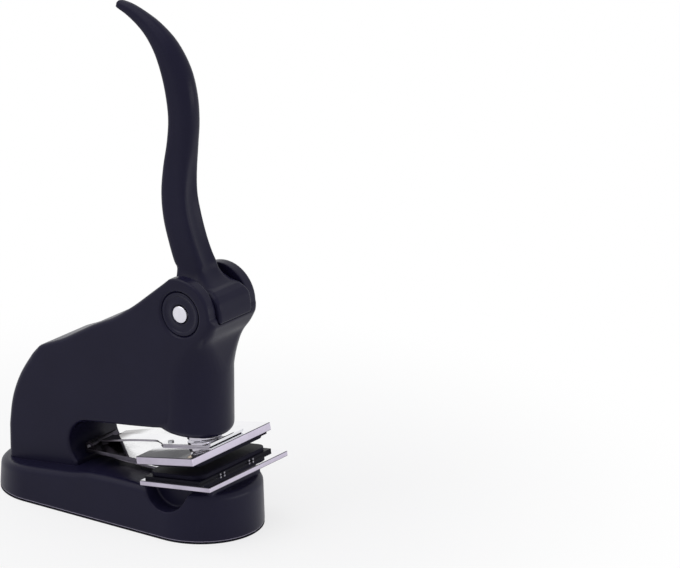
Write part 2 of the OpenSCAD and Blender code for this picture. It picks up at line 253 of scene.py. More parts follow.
def makeGrainGroup():
    # fine skin of paint or moulded plastic, with slow blotches
    group, entry, leave = newGroup(
        "surfaceGrain",
        [("Fine Scale", 2600.0), ("Blotch Scale", 40.0), ("Blotch Contrast", 0.5)],
        [("Height", "NodeSocketFloat"), ("Blotch", "NodeSocketFloat")],
    )
    where = node(group, "ShaderNodeTexCoord")
    fine = node(group, "ShaderNodeTexNoise", in_Detail=3.0, in_Roughness=0.6)
    peel = node(group, "ShaderNodeTexNoise", in_Detail=1.0)
    quarter = node(group, "ShaderNodeMath", operation="MULTIPLY")
    quarter.inputs[1].default_value = 0.22
    blotch = node(group, "ShaderNodeTexNoise", in_Detail=4.0, in_Roughness=0.55)
    both = node(group, "ShaderNodeMath", operation="MULTIPLY_ADD")
    both.inputs[1].default_value = 0.45
    spread = node(group, "ShaderNodeMapRange")
    spread.inputs["From Min"].default_value = 0.3
    spread.inputs["From Max"].default_value = 0.7
    fade = node(group, "ShaderNodeMath", operation="MULTIPLY")
    link = group.links.new
    for noise in (fine, peel, blotch):
        link(where.outputs["Object"], noise.inputs["Vector"])
    link(entry.outputs["Fine Scale"], fine.inputs["Scale"])
    link(entry.outputs["Fine Scale"], quarter.inputs[0])
    link(quarter.outputs[0], peel.inputs["Scale"])
    link(entry.outputs["Blotch Scale"], blotch.inputs["Scale"])
    link(fine.outputs["Fac"], both.inputs[0])
    link(peel.outputs["Fac"], both.inputs[2])
    link(blotch.outputs["Fac"], spread.inputs["Value"])
    link(spread.outputs["Result"], fade.inputs[0])
    link(entry.outputs["Blotch Contrast"], fade.inputs[1])
    link(both.outputs[0], leave.inputs["Height"])
    link(fade.outputs[0], leave.inputs["Blotch"])
    return group


def makeWearGroup():
    # rubbed edges, broken up by noise
    group, entry, leave = newGroup(
        "edgeRub",
        [("Start", 0.53), ("Width", 0.05), ("Patchiness", 0.6)],
        [("Mask", "NodeSocketFloat")],
    )
    shape = node(group, "ShaderNodeNewGeometry")
    where = node(group, "ShaderNodeTexCoord")
    patch = node(group, "ShaderNodeTexNoise", in_Scale=220.0, in_Detail=4.0)
    end = node(group, "ShaderNodeMath", operation="ADD")
    edge = node(group, "ShaderNodeMapRange", interpolation_type="SMOOTHSTEP")
    thin = node(group, "ShaderNodeMath", operation="MULTIPLY")
    keep = node(group, "ShaderNodeMath", operation="SUBTRACT", use_clamp=True)
    link = group.links.new
    link(where.outputs["Object"], patch.inputs["Vector"])
    link(shape.outputs["Pointiness"], edge.inputs["Value"])
    link(entry.outputs["Start"], edge.inputs["From Min"])
    link(entry.outputs["Start"], end.inputs[0])
    link(entry.outputs["Width"], end.inputs[1])
    link(end.outputs[0], edge.inputs["From Max"])
    link(patch.outputs["Fac"], thin.inputs[0])
    link(entry.outputs["Patchiness"], thin.inputs[1])
    link(edge.outputs["Result"], keep.inputs[0])
    link(thin.outputs[0], keep.inputs[1])
    link(keep.outputs[0], leave.inputs["Mask"])
    return group


def makeScratchGroup():
    # hairline scratches and handling haze on bright metal
    group, entry, leave = newGroup(
        "hairlines",
        [("Scale", 900.0), ("Stretch", 14.0), ("Amount", 0.5)],
        [("Height", "NodeSocketFloat"), ("Haze", "NodeSocketFloat")],
    )
    where = node(group, "ShaderNodeTexCoord")
    squeeze = node(group, "ShaderNodeCombineXYZ")
    squeeze.inputs["X"].default_value = 1.0
    squeeze.inputs["Z"].default_value = 1.0
    pull = node(group, "ShaderNodeVectorMath", operation="MULTIPLY")
    lines = node(group, "ShaderNodeTexNoise", in_Detail=5.0, in_Roughness=0.7)
    haze = node(group, "ShaderNodeTexNoise", in_Scale=60.0, in_Detail=5.0, in_Roughness=0.6)
    scaled = node(group, "ShaderNodeMath", operation="MULTIPLY")
    fog = node(group, "ShaderNodeMapRange")
    fog.inputs["From Min"].default_value = 0.45
    fog.inputs["From Max"].default_value = 0.75
    link = group.links.new
    link(entry.outputs["Stretch"], squeeze.inputs["Y"])
    link(where.outputs["Object"], pull.inputs[0])
    link(squeeze.outputs[0], pull.inputs[1])
    link(pull.outputs[0], lines.inputs["Vector"])
    link(entry.outputs["Scale"], lines.inputs["Scale"])
    link(where.outputs["Object"], haze.inputs["Vector"])
    link(lines.outputs["Fac"], scaled.inputs[0])
    link(entry.outputs["Amount"], scaled.inputs[1])
    link(haze.outputs["Fac"], fog.inputs["Value"])
    link(scaled.outputs[0], leave.inputs["Height"])
    link(fog.outputs["Result"], leave.inputs["Haze"])
    return group


grainGroup = makeGrainGroup()
wearGroup = makeWearGroup()
scratchGroup = makeScratchGroup()


def useGroup(tree, group, **values):
    made = tree.nodes.new("ShaderNodeGroup")
    made.node_tree = group
    for key, value in values.items():
        made.inputs[key.replace("_", " ")].default_value = value
    return made


def startMaterial(name):
    material = bpy.data.materials.new(name)
    material.use_nodes = True
    tree = material.node_tree
    return material, tree, tree.nodes["Principled BSDF"]


def blendColours(tree, mask, first, second):
    mixer = node(tree, "ShaderNodeMix", data_type="RGBA")
    sockets = {s.identifier: s for s in mixer.inputs}
    sockets["A_Color"].default_value = (*first, 1)
    sockets["B_Color"].default_value = (*second, 1)
    tree.links.new(mask, sockets["Factor_Float"])
    return {s.identifier: s for s in mixer.outputs}["Result_Color"]


def mapTo(tree, value, low, high):
    ramp = node(tree, "ShaderNodeMapRange")
    ramp.inputs["To Min"].default_value = low
    ramp.inputs["To Max"].default_value = high
    tree.links.new(value, ramp.inputs["Value"])
    return ramp.outputs["Result"]


def paintedMetal(name, dark, light, rub, roughness, gloss, fineScale, bump, wear=0.05):
    material, tree, shader = startMaterial(name)
    link = tree.links.new
    grain = useGroup(tree, grainGroup, Fine_Scale=fineScale, Blotch_Scale=38.0, Blotch_Contrast=1.0)
    worn = useGroup(tree, wearGroup, Start=0.56, Width=0.08, Patchiness=0.9)
    base = blendColours(tree, grain.outputs["Blotch"], dark, light)
    rubbed = node(tree, "ShaderNodeMix", data_type="RGBA")
    sockets = {s.identifier: s for s in rubbed.inputs}
    sockets["B_Color"].default_value = (*rub, 1)
    fade = node(tree, "ShaderNodeMath", operation="MULTIPLY")
    fade.inputs[1].default_value = wear
    link(worn.outputs["Mask"], fade.inputs[0])
    link(fade.outputs[0], sockets["Factor_Float"])
    link(base, sockets["A_Color"])
    link({s.identifier: s for s in rubbed.outputs}["Result_Color"], shader.inputs["Base Color"])
    link(mapTo(tree, grain.outputs["Blotch"], roughness - 0.04, roughness + 0.06), shader.inputs["Roughness"])
    relief = node(tree, "ShaderNodeBump", in_Strength=bump, in_Distance=0.0002)
    link(grain.outputs["Height"], relief.inputs["Height"])
    link(relief.outputs["Normal"], shader.inputs["Normal"])
    shader.inputs["Specular IOR Level"].default_value = gloss
    return material


def brightMetal(name, colour, dull, roughness, haze, scale=900.0, stretch=14.0, bump=0.03):
    material, tree, shader = startMaterial(name)
    link = tree.links.new
    lines = useGroup(tree, scratchGroup, Scale=scale, Stretch=stretch, Amount=0.6)
    link(blendColours(tree, lines.outputs["Haze"], colour, dull), shader.inputs["Base Color"])
    link(mapTo(tree, lines.outputs["Haze"], roughness, roughness + haze), shader.inputs["Roughness"])
    relief = node(tree, "ShaderNodeBump", in_Strength=bump, in_Distance=0.0001)
    link(lines.outputs["Height"], relief.inputs["Height"])
    link(relief.outputs["Normal"], shader.inputs["Normal"])
    shader.inputs["Metallic"].default_value = 1.0
    return material


bodyPaint = paintedMetal(
    "bodyPaint", (0.0078, 0.0068, 0.0215), (0.0095, 0.0086, 0.0250), (0.10, 0.10, 0.12),
    roughness=0.33, gloss=0.13, fineScale=2400.0, bump=0.08,
)
leverPaint = paintedMetal(
    "leverPaint", (0.0100, 0.0092, 0.0245), (0.0120, 0.0112, 0.0280), (0.10, 0.10, 0.12),
    roughness=0.32, gloss=0.09, fineScale=2400.0, bump=0.07,
)
basePaint = paintedMetal(
    "basePaint", (0.0078, 0.0068, 0.0215), (0.0095, 0.0086, 0.0250), (0.10, 0.10, 0.12),
    roughness=0.34, gloss=0.13, fineScale=2400.0, bump=0.08,
)
discPlastic = paintedMetal(
    "discPlastic", (0.0085, 0.0076, 0.0230), (0.0100, 0.0092, 0.0260), (0.08, 0.08, 0.10),
    roughness=0.30, gloss=0.16, fineScale=3000.0, bump=0.05,
)
padRubber = paintedMetal(
    "padRubber", (0.004, 0.004, 0.008), (0.006, 0.006, 0.011), (0.03, 0.03, 0.03),
    roughness=0.70, gloss=0.10, fineScale=1800.0, bump=0.25,
)
holderBlack = paintedMetal(
    "holderBlack", (0.003, 0.0028, 0.007), (0.0045, 0.004, 0.009), (0.06, 0.06, 0.08),
    roughness=0.34, gloss=0.07, fineScale=2000.0, bump=0.08,
)
dieBlack = paintedMetal(
    "dieBlack", (0.0042, 0.0036, 0.0105), (0.006, 0.0054, 0.014), (0.06, 0.06, 0.08),
    roughness=0.42, gloss=0.05, fineScale=2600.0, bump=0.05,
)
mirrorChrome = brightMetal(
    "mirrorChrome", (0.86, 0.86, 0.88), (0.80, 0.80, 0.83),
    roughness=0.045, haze=0.07,
)
edgeChrome = brightMetal(
    "edgeChrome", (0.52, 0.48, 0.58), (0.41, 0.375, 0.455),
    roughness=0.30, haze=0.16, scale=2600.0, stretch=1.0, bump=0.25,
)
stripEdge = brightMetal(
    "stripEdge", (0.36, 0.34, 0.385), (0.25, 0.235, 0.27),
    roughness=0.34, haze=0.16, scale=2600.0, stretch=1.0, bump=0.2,
)
# painted shade: a dark metal on the plates' bevels stands in for the dark reflection along their edges
bevelPaintedShade = brightMetal(
    "bevelPaintedShade", (0.06, 0.055, 0.07), (0.04, 0.036, 0.048),
    roughness=0.34, haze=0.16, scale=2600.0, stretch=1.0, bump=0.2,
)
# painted shade: the ram's chrome is darker than the plates' chrome, standing in for the dark nose it reflects
ramChrome = brightMetal(
    "ramChrome", (0.56, 0.54, 0.60), (0.46, 0.44, 0.50),
    roughness=0.06, haze=0.05, scale=2200.0, stretch=1.0,
)
pinSteel = brightMetal(
    "pinSteel", (0.72, 0.71, 0.77), (0.62, 0.61, 0.67),
    roughness=0.34, haze=0.12, scale=2600.0, stretch=1.0, bump=0.12,
)
plainSteel = brightMetal(
    "plainSteel", (0.55, 0.56, 0.58), (0.42, 0.43, 0.45),
    roughness=0.26, haze=0.15, scale=1800.0, stretch=1.0, bump=0.10,
)
# a darker steel: on the jaw pin it is painted shade by the hinge, on the holder pins it keeps them dim
dullAndShadedSteel = brightMetal(
    "dullAndShadedSteel", (0.34, 0.33, 0.37), (0.26, 0.25, 0.29),
    roughness=0.30, haze=0.15, scale=1800.0, stretch=1.0, bump=0.10,
)
bushBronze = brightMetal(
    "bushBronze", (0.62, 0.42, 0.20), (0.45, 0.30, 0.14),
    roughness=0.24, haze=0.15, scale=1800.0, stretch=1.0, bump=0.08,
)
washerNylon = paintedMetal(
    "washerNylon", (0.60, 0.58, 0.52), (0.70, 0.68, 0.62), (0.75, 0.74, 0.70),
    roughness=0.50, gloss=0.40, fineScale=1500.0, bump=0.10,
)


def addBand(material, axis, full, none, colour):
    # a colour where the piece's own X or Z is under full, faded out up to none
    tree = material.node_tree
    shader = tree.nodes["Principled BSDF"]
    under = shader.inputs["Base Color"].links[0].from_socket
    where = node(tree, "ShaderNodeTexCoord")
    split = node(tree, "ShaderNodeSeparateXYZ")
    mask = node(tree, "ShaderNodeMapRange", interpolation_type="SMOOTHSTEP")
    mask.inputs["From Min"].default_value = none * mm
    mask.inputs["From Max"].default_value = full * mm
    mixer = node(tree, "ShaderNodeMix", data_type="RGBA")
    sockets = {s.identifier: s for s in mixer.inputs}
    sockets["B_Color"].default_value = (*colour, 1)
    link = tree.links.new
    link(where.outputs["Object"], split.inputs[0])
    link(split.outputs[axis], mask.inputs["Value"])
    link(mask.outputs["Result"], sockets["Factor_Float"])
    link(under, sockets["A_Color"])
    link({s.identifier: s for s in mixer.outputs}["Result_Color"], shader.inputs["Base Color"])


# painted highlight: a light band at the foot of the base stands in for the white floor reflected in its bottom
# chamfer
addBand(basePaint, "Z", 1.1, 1.4, (0.36, 0.33, 0.44))
# painted shade: the chrome plates, their edges and the strip turn dark towards the hinge, standing in for the dark
# throat reflected there
addBand(mirrorChrome, "X", -7, 1, (0.055, 0.045, 0.05))
addBand(edgeChrome, "X", -9, 4, (0.035, 0.03, 0.04))
addBand(stripEdge, "X", -9, -2, (0.10, 0.09, 0.11))
print("materials made")


def paint(piece, *materials):
    # clearing the slots resets the faces, so they are numbered again
    numbers = [face.material_index for face in piece.data.polygons]
    piece.data.materials.clear()
    for material in materials:
        piece.data.materials.append(material)
    piece.data.polygons.foreach_set("material_index", numbers)


# base casting: rings that shrink towards the middle line, so wall, rim and top are one skin

baseShape = {
    "radius": 26.5,
    "arcX": 37.7,
    "foot": 0.65,
    "chamfer": 0.5,
    "draft": 0.55,
    "rim": 3.0,
    "top": [(-64.2, 12.5), (-16, 18), (4, 20.8), (64.2, 21.3)],
    "notchX": 37.7,
    "notchZ": 22.5,
    "notchR": 10,
    "notchDepth": 8,
    "grain": 0.45,
}


def heightAlong(line, x):
    if x <= line[0][0]:
        return line[0][1]
    for (x0, z0), (x1, z1) in zip(line, line[1:]):
        if x <= x1:
            t = (x - x0) / (x1 - x0)
            return z0 + (z1 - z0) * t
    return line[-1][1]


def stadiumLoop(inset):
    r = max(baseShape["radius"] - inset, 0.02)
    a = baseShape["arcX"]
    loop = []
    for i in range(49):
        t = math.radians(-90 + 180 * i / 48)
        loop.append((a + r * math.cos(t), r * math.sin(t)))
    for i in range(1, 40):
        loop.append((a - 2 * a * i / 40, r))
    for i in range(49):
        t = math.radians(90 + 180 * i / 48)
        loop.append((-a + r * math.cos(t), r * math.sin(t)))
    for i in range(1, 40):
        loop.append((-a + 2 * a * i / 40, -r))
    return loop


def makeBase():
    s = baseShape
    topLine = smoothLine(s["top"], 8)
    loops = [[(x, y, s["foot"]) for x, y in stadiumLoop(inset)] for inset in (26.4, 12, s["chamfer"])]
    loops.append([(x, y, s["foot"] + s["chamfer"]) for x, y in stadiumLoop(0)])
    for share in (0.25, 0.5, 0.75):
        outer = stadiumLoop(s["draft"] * share)
        loops.append([(x, y, 1.15 + (heightAlong(topLine, x) - s["rim"] - 1.15) * share) for x, y in outer])
    for i in range(9):
        t = math.radians(90 * i / 8)
        ring = stadiumLoop(s["draft"] + s["rim"] * (1 - math.cos(t)))
        loops.append([(x, y, heightAlong(topLine, x) - s["rim"] * (1 - math.sin(t))) for x, y in ring])
    for inset in (7, 12, 18, 26.4):
        loops.append([(x, y, heightAlong(topLine, x)) for x, y in stadiumLoop(inset)])
    base = loft(loops, "base_casting")
    anvil = sidePrism([(24, 18), (56, 18), (56, 25.85), (24, 21.66)], -17, 17, "anvil")
    cuts = []
    for side in (-1, 1):
        y = side * (s["radius"] - s["notchDepth"] / 2)
        outline = [(s["notchR"], -s["notchDepth"] / 2 - 0.02), (s["notchR"], s["notchDepth"] / 2 + 1)]
        if side < 0:
            outline = [(s["notchR"], -s["notchDepth"] / 2 - 1), (s["notchR"], s["notchDepth"] / 2 + 0.02)]
        cuts.append(lathe(outline, "notch", (s["notchX"], y, s["notchZ"]), "Y"))
    gather([base, anvil], cuts)
    castSkin(base, s["grain"], 4)
    return base


base = makeBase()
paint(base, basePaint)
place(base, "stand", "black_paint", "base")
print("base made")

padShape = {"inset": 0.1, "height": 0.65}


def makePad():
    loops = [[(x, y, 0.0) for x, y in stadiumLoop(padShape["inset"] + 0.15)]]
    loops.append([(x, y, 0.15) for x, y in stadiumLoop(padShape["inset"])])
    loops.append([(x, y, padShape["height"]) for x, y in stadiumLoop(padShape["inset"])])
    pad = loft(loops, "base_pad_sheet")
    smoothShade(pad)
    return pad


pad = makePad()
paint(pad, padRubber)
place(pad, "stand", "black_rubber", "base_pad")
print("pad made")


# frame casting

frameShape = {
    "width": 33,
    "pivot": (39.4, 97),
    "earR": 15.3,
    "noseX": 34.6,
    "noseR": 16.5,
    "noseZ": 42.4,
    "noseEdge": (3.6, 3.0),
    "noseSlope": -0.08,
    # Z, front X and corner radius of the nose, from the round column up to the ears
    "noseFront": [
        (62, 51.0, 16.4), (69, 51.0, 16.4), (74, 50.9, 14.5), (78, 50.8, 12), (82.4, 51.0, 9),
        (85.6, 51.8, 6.5), (88.7, 53.7, 5), (91.7, 55.1, 4), (94.2, 56.0, 3.5), (97, 55.2, 1.5),
    ],
    "slotWidth": 22.4,
    "slotR": 13.6,
    "slotBack": 28,
    "slotAngle": 194,
    "recess": [(9.75, -1.6), (9.75, -0.9), (10.0, -0.4), (10.5, -0.05), (11.2, 0.1), (11.2, 1)],
    "lipAngle": -9.3,
    "grain": 0.42,
}


def frameOutline():
    # X, Z and the radius of the long edges there
    px, pz = frameShape["pivot"]
    out = [(-54.0, 28.7, 3.0), (-53.5, 33.1, 3.0), (-52.9, 37.4, 3.0), (-51.95, 41.7, 3.0)]
    out += [(-50.6, 45.9, 3.0), (-48.9, 50.0, 3.0), (-46.9, 53.9, 3.0), (-44.6, 57.6, 3.0), (-42.2, 61.05, 3.0)]
    out += [(-40.6, 63.1, 2.6), (-38.5, 65.3, 2.2), (-36.2, 67.5, 1.8), (-33.4, 69.0, 1.8), (-29.0, 70.9, 1.8)]
    out += [(-24.0, 73.2, 2.0), (-19.1, 76.0, 2.2), (-8.1, 82.4, 2.3), (2.6, 87.7, 2.2), (9.4, 92.0, 2.0)]
    out += [(15.2, 96.1, 1.8), (21.5, 101.2, 1.6), (26.2, 105.0, 1.4), (30.4, 108.4, 1.2)]
    out = [(-54.0, 11.5, 3.0)] + smoothLine(out, 4)
    out += [(x, z, 1.0) for x, z in arc(px, pz, frameShape["earR"], 112, -12, 24)]
    out += [(53.6, 91.7, 2.6), (51.6, 88.7, 3.0), (48.2, 85.6, 3.0), (45.0, 82.4, 3.0), (41.8, 78.0, 3.0), (39.4, 74.0, 3.0)]
    out += [(36.0, 68.0, 3.0), (35.5, 50.0, 3.0), (33.5, 45.6, 3.0), (28.8, 44.3, 2.6), (24.0, 43.5, 2.2)]
    out += [(12.0, 41.9, 1.8), (0.0, 40.4, 1.6), (-8.0, 39.4, 1.5)]
    out += [(x, z, 1.2) for x, z in arc(-9.4, 28.4, 10.8, 98, 232, 16)]
    out += [(-15.0, 11.5, 1.2)]
    return out


def roundedSlab(outline, width, name, steps=5):
    # a plate along Y whose long edges are rounded by each point's own radius
    n = len(outline)
    area = sum(outline[i][0] * outline[(i + 1) % n][1] - outline[(i + 1) % n][0] * outline[i][1] for i in range(n))
    turn = 1 if area > 0 else -1
    inward = []
    for i in range(n):
        a, b, c = (Vector(outline[(i + k) % n][:2]) for k in (-1, 0, 1))
        d1, d2 = (b - a).normalized(), (c - b).normalized()
        n1, n2 = Vector((-d1.y, d1.x)) * turn, Vector((-d2.y, d2.x)) * turn
        m = (n1 + n2)
        m = m / max(m.length_squared / 2, 0.6)
        inward.append(m)
    loops = []
    for side in (-1, 1):
        rows = []
        for k in range(steps + 1):
            t = math.radians(90 * k / steps)
            row = []
            for (x, z, r), m in zip(outline, inward):
                off = r * (1 - math.cos(t))
                row.append((x + m.x * off, side * (width / 2 - r * (1 - math.sin(t))), z + m.y * off))
            rows.append(row)
        loops += rows[::-1] if side < 0 else rows
    return loft(loops, name)


def makeColumn():
    # round lower part of the nose, with an underside that slopes down to the front
    s = frameShape
    across, up = s["noseEdge"]
    outline = [(0, s["noseZ"])] + [
        (s["noseR"] - across * (1 - math.sin(math.radians(a))), s["noseZ"] + up * (1 - math.cos(math.radians(a))))
        for a in range(0, 91, 10)
    ]
    column = lathe(outline + [(s["noseR"], 70), (0, 70)], "column", (s["noseX"], 0, 0))
    for vertex in column.data.vertices:
        share = max(0, 1 - (vertex.co.z / mm - s["noseZ"]) / (2 * up))
        vertex.co.z += s["noseSlope"] * (vertex.co.x - s["noseX"] * mm) * share
    return column


def noseSection(z, front, corner):
    half = frameShape["noseR"] - 0.02
    side = [
        (front - corner + corner * math.cos(math.radians(a)), half - corner + corner * math.sin(math.radians(a)), z)
        for a in range(0, 91, 9)
    ]
    return [(30, -half, z)] + [(x, -y, z) for x, y, z in side[::-1]] + side + [(30, half, z)]


def makeFrame():
    s = frameShape
    px, pz = s["pivot"]
    frameBody = roundedSlab(frameOutline(), s["width"], "frame_casting")
    front = loft([noseSection(*row) for row in smoothLine(s["noseFront"], 4)], "nose_front")
    w = s["width"] / 2
    hub = lathe([(s["slotR"], -s["slotWidth"] / 2), (s["slotR"], s["slotWidth"] / 2)], "hubRoom", (px, 0, pz), "Y")
    fan = [(px, pz)] + arc(px, pz, s["slotBack"], s["lipAngle"], s["slotAngle"], 48)
    fan = sidePrism(fan, -s["slotWidth"] / 2, s["slotWidth"] / 2, "fan")
    bore = lathe([(9.2, 38), (9.2, 90)], "bore", (px, 0, 0))
    pinRoom = lathe([(5.02, -20), (5.02, 20)], "pinRoom", (px, 0, pz), "Y")
    recesses = [lathe([(r, w + d) for r, d in s["recess"]], "recess", (px, 0, pz), axis) for axis in ("Y", "-Y")]
    gather([frameBody, makeColumn(), front], [hub, fan, bore, pinRoom] + recesses)
    castSkin(frameBody, s["grain"], 4)
    return frameBody


frameBody = makeFrame()
paint(frameBody, bodyPaint)
place(frameBody, "stand", "black_paint", "frame")
print("frame made")


# ear discs and pivot pin

discShape = {
    "seat": 1.6,
    "outline": [
        (5.0, -3.0), (5.0, 0.0), (9.2, 0.0), (9.45, 0.3), (9.35, 0.8), (9.0, 1.05), (8.5, 1.1), (8.0, 0.95), (7.6, 0.65),
        (6.8, 0.55), (5.7, 0.65), (4.9, 0.85), (4.4, 0.75), (4.1, 0.4), (4.1, -3.0),
    ],
}


def makeDiscs():
    px, pz = frameShape["pivot"]
    sides = []
    for side in (-1, 1):
        y = side * (frameShape["width"] / 2 - discShape["seat"])
        outline = smoothLine(discShape["outline"], 4)
        sides.append(lathe(outline + [outline[0]], "ear_disc", (px, y, pz), "Y" if side > 0 else "-Y"))
    first, second = sides
    combine(first, [second], "UNION")
    smoothShade(first)
    return first


discs = makeDiscs()
paint(discs, discPlastic)
place(discs, "stand", "black_paint", "ear_bushes")

pinShape = {"radius": 3.6, "length": 32.6, "edge": 0.35}


def makePin():
    px, pz = frameShape["pivot"]
    r, h, e = pinShape["radius"], pinShape["length"] / 2, pinShape["edge"]
    half = [(0, -h - 0.15), (r * 0.5, -h - 0.12), (r - e, -h), (r - e * 0.3, -h + e * 0.3), (r, -h + e)]
    outline = half + [(x, -z) for x, z in half[::-1]]
    pin = lathe(outline, "pivot_pin_bar", (px, 0, pz), "Y", 64)
    smoothShade(pin)
    return pin


pin = makePin()
paint(pin, pinSteel)
place(pin, "stand", "chrome", "pivot_pin")
print("ear discs and pin made")


# lever: sections along the handle, joined to the hub

leverShape = {
    "stations": [
        # X, Z, lean of the section, depth, width, squareness front and rear, hollow of the front
        (41.4, 105.4, 0, 23.4, 21.5, 5.0, 5.0, 0.0),
        (39.9, 107.2, 0, 19.6, 19.8, 5.0, 5.0, 0.0),
        (38.0, 109.2, 2, 16.2, 16.6, 5.0, 5.0, 0.1),
        (36.7, 111.6, 5, 14.4, 13.8, 6.0, 5.0, 0.3),
        (35.9, 114.2, 11, 14.0, 12.2, 7.0, 5.0, 0.5),
        (34.2, 116.9, 18, 14.2, 11.5, 8.0, 5.0, 0.5),
        (31.6, 123.5, 20, 14.0, 11.2, 8.0, 5.0, 0.5),
        (28.7, 133.4, 12, 13.8, 11.1, 8.0, 5.0, 0.5),
        (27.3, 143.6, 2, 13.1, 10.6, 7.0, 5.0, 0.4),
        (28.0, 154.1, -7, 12.5, 10.2, 5.0, 5.0, 0.2),
        (29.7, 164.8, -7, 12.0, 10.0, 3.2, 5.0, 0.0),
        (30.7, 175.3, 0, 12.1, 10.2, 2.6, 5.0, 0.0),
        (29.9, 185.4, 9, 12.4, 10.5, 2.4, 5.0, 0.0),
        (27.2, 195.3, 22, 12.1, 10.0, 2.4, 5.0, 0.0),
        (22.0, 204.6, 36, 10.3, 8.8, 2.4, 4.5, 0.0),
        (15.5, 211.1, 52, 8.1, 7.1, 2.4, 4.0, 0.0),
        (9.3, 215.1, 62, 6.4, 5.7, 2.5, 4.0, 0.0),
        (3.1, 218.0, 68, 5.0, 4.9, 2.6, 4.0, 0.0),
        (-1.6, 219.3, 73, 3.8, 4.4, 2.8, 3.6, 0.0),
        (-3.1, 219.6, 75, 3.1, 4.0, 2.8, 3.2, 0.0),
    ],
    "hubWidth": 21.6,
    "camStart": 9.6,
    "camRise": 0.0475,
    "camHalf": 6,
    "hubFront": 17.2,
    # X, Z and edge radius of the hub's shoulder, where it runs into the handle
    "shoulder": [
        (53.8, 105.4, 1.8), (51.4, 107.0, 2.6), (47.6, 107.8, 3.0), (44.4, 108.8, 3.0), (41.0, 110.4, 3.0),
        (36.5, 109.0, 2.0), (34.6, 104.0, 1.0), (38.0, 96.0, 0.5),
    ],
    "grain": 0.36,
}


def sectionLoop(cx, cz, lean, depth, width, front, rear, hollow, count=72):
    lean = math.radians(lean)
    forward = Vector((math.cos(lean), 0, math.sin(lean)))
    loop = []
    for i in range(count):
        t = 2 * math.pi * i / count
        c, s = math.cos(t), math.sin(t)
        power = front if c >= 0 else rear
        reach = (abs(c) ** power + abs(s) ** power) ** (-1 / power)
        u, v = reach * c * depth / 2, reach * s * width / 2
        if c > 0:
            u -= hollow * max(0, 1 - (v / (0.36 * width)) ** 2)
        p = Vector((cx, 0, cz)) + forward * u
        loop.append((p.x, v, p.z))
    return loop


def makeLever():
    s = leverShape
    px, pz = frameShape["pivot"]
    handle = loft([sectionLoop(*station) for station in smoothLine(s["stations"], 5)], "lever_casting")
    w = s["hubWidth"] / 2
    hub = [(x, z, 1.0) for x, z in arc(px, pz, s["hubFront"], -8.3, 22, 16)] + s["shoulder"]
    hub = roundedSlab(hub, s["hubWidth"], "hub")
    barrel = lathe([(9.0, -w), (9.0, w)], "barrel", (px, 0, pz), "Y")
    cam = [(px, pz)]
    for a in range(-10, 71, 4):
        r, t = s["camStart"] + s["camRise"] * a, math.radians(270 - a)
        cam.append((px + r * math.cos(t), pz + r * math.sin(t)))
    cam = sidePrism(cam, -s["camHalf"], s["camHalf"], "cam")
    gather([handle, hub, barrel, cam], [lathe([(5.02, -20), (5.02, 20)], "hubBore", (px, 0, pz), "Y")])
    castSkin(handle, s["grain"], 3)
    return handle


lever = makeLever()
paint(lever, leverPaint)
place(lever, "lever", "black_paint", "lever")
print("lever made")


# jaw plates and dies, drawn along the tilted plates (u) and across them (v)

jawShape = {
    "hinge": (-15, 24.6),
    "lowerTilt": 7.5,
    "upperTilt": 10.5,
    "plateWidth": 54,
    "plateEdge": 0.25,
    # from and to along the plates, then under and upper side
    "upperPlate": (40.1, 70.1, -0.9, 2.5),
    "lowerPlate": (40.4, 77.4, -8.0, -5.8),
}


def jawMatrix(tilt):
    hx, hz = jawShape["hinge"]
    return Matrix.Translation((hx * mm, 0, hz * mm)) @ Matrix.Rotation(math.radians(-tilt), 4, "Y")


def sheetPiece(outline, v0, v1, tilt, name, holes=(), edge=0.2):
    # outline in u and y, from v0 up to v1
    piece = loft([[(u, y, v) for u, y in outline] for v in (v0, v1)], name)
    combine(piece, [lathe([(r, v0 - 2), (r, v1 + 2)], "hole", (u, y, 0)) for u, y, r in holes], "DIFFERENCE")
    if edge:
        bevelled(piece, edge)
    piece.data.transform(jawMatrix(tilt))
    return piece


def markEdges(piece, tilt, flat=0.96, side=0.25):
    # the second material goes on the sheared edges, the third, a painted dark reflection, on the bevel between edge
    # and face
    up = jawMatrix(tilt).to_3x3() @ Vector((0, 0, 1))
    for face in piece.data.polygons:
        lean = abs(face.normal.dot(up))
        face.material_index = 0 if lean > flat else 1 if lean < side else 2


def rectangle(u0, u1, width):
    return [(u0, -width / 2), (u1, -width / 2), (u1, width / 2), (u0, width / 2)]


def roundedRectangle(u0, u1, width, r):
    w = width / 2 - r
    corners = ((u1 - r, w, 0), (u0 + r, w, 90), (u0 + r, -w, 180), (u1 - r, -w, 270))
    return [p for u, y, a in corners for p in arc(u, y, r, a, a + 90, 8)]


def makeTongue(u0, u1, half0, half1, v, t0, t1):
    # tapered sheet between the hinge and the plate
    ends = ((u0, half0, t0), (u1, half1, t1))
    tongue = loft([[(u, y, z) for y, z in ((-h, v), (h, v), (h, v + t), (-h, v + t))] for u, h, t in ends], "tongue")
    bevelled(tongue, 0.12)
    return tongue


